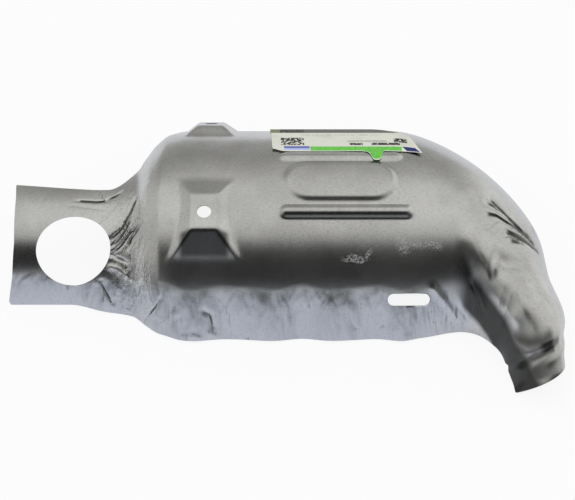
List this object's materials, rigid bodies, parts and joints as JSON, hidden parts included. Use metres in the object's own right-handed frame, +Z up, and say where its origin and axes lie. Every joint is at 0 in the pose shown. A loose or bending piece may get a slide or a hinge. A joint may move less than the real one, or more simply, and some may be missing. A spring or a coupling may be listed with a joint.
{
  "type": "exhaust heat shield",
  "caption": "Pressed sheet-steel heat shield for an exhaust: half-round body with bolt pads and beads, trimmed neck with a round port, and an elbow ending in a collar.",
  "frame": {"origin": "centre of the front bolt hole on its pad's outer face", "axes": "+X along the body towards the elbow, +Y to the back, +Z up from the surface that the shield lies on, crown up"},
  "size_m": [0.3529, 0.2358, 0.0634],
  "materials": {
    "pressed_steel": "satin mill finish with handling marks",
    "label_paper": "matte paper with a printed colour band"
  },
  "bodies": {
    "root": {"shield": "pressed_steel", "label": "label_paper"}
  },
  "joints": []
}
